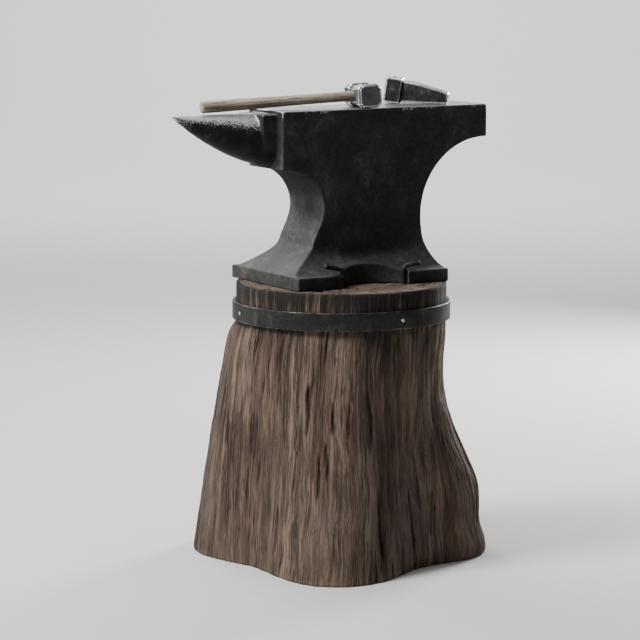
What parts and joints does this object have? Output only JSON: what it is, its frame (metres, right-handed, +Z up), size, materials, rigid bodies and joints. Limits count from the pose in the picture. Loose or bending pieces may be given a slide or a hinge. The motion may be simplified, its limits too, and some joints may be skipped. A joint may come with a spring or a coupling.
{
  "type": "blacksmith's anvil on a stump block",
  "caption": "Horned blacksmith's anvil spiked to a hooped tree-stump block, with a hand hammer and a loose peen hammer head lying on its face.",
  "frame": {"origin": "middle of the stump's top, projected down onto the floor that its foot stands on", "axes": "+Z up; -X along the horn, +X along the heel; -Y is the front side"},
  "size_m": [0.5723, 0.4891, 0.7965],
  "materials": {
    "stump_wood": "weathered, cracked",
    "black_iron": "blackened forged iron, worn at the edges",
    "face_steel": "hammer-polished",
    "horn_iron": "blackened forged iron, bright along its top",
    "hoop_iron": "scaled iron, scratched",
    "spike_iron": "forged, rusty black",
    "nail_steel": "bright domed head",
    "hammer_steel": "ground steel, bright bevels",
    "handle_wood": "pale, dry, oiled by hand",
    "wedge_wood": "split hardwood",
    "wedge_steel": "plain",
    "peen_steel": "dark mottled steel, bright edges"
  },
  "bodies": {
    "anvil_on_block": {"stump": "stump_wood", "hoop": "hoop_iron", "anvil_body": "black_iron", "face_plate": "face_steel", "cutting_table": "black_iron", "horn": "horn_iron", "spike_front_horn_side": "spike_iron", "spike_front_heel_side": "spike_iron", "spike_back_horn_side": "spike_iron", "spike_back_heel_side": "spike_iron", "hoop_nail_1": "nail_steel", "hoop_nail_2": "nail_steel", "hoop_nail_3": "nail_steel", "hoop_nail_4": "nail_steel", "hoop_rivet_1": "spike_iron", "hoop_rivet_2": "spike_iron"},
    "hand_hammer": {"hammer_head": "hammer_steel", "hammer_handle": "handle_wood", "hammer_wood_wedge": "wedge_wood", "hammer_steel_wedge": "wedge_steel"},
    "loose_head": {"peen_hammer_head": "peen_steel"}
  },
  "joints": [
    {"name": "hand_hammer_lift", "type": "slide", "parent": "anvil_on_block", "child": "hand_hammer", "axis": [0, 0, 1], "range_m": [0, 0.15]},
    {"name": "loose_head_lift", "type": "slide", "parent": "anvil_on_block", "child": "loose_head", "axis": [0, 0, 1], "range_m": [0, 0.15]}
  ]
}
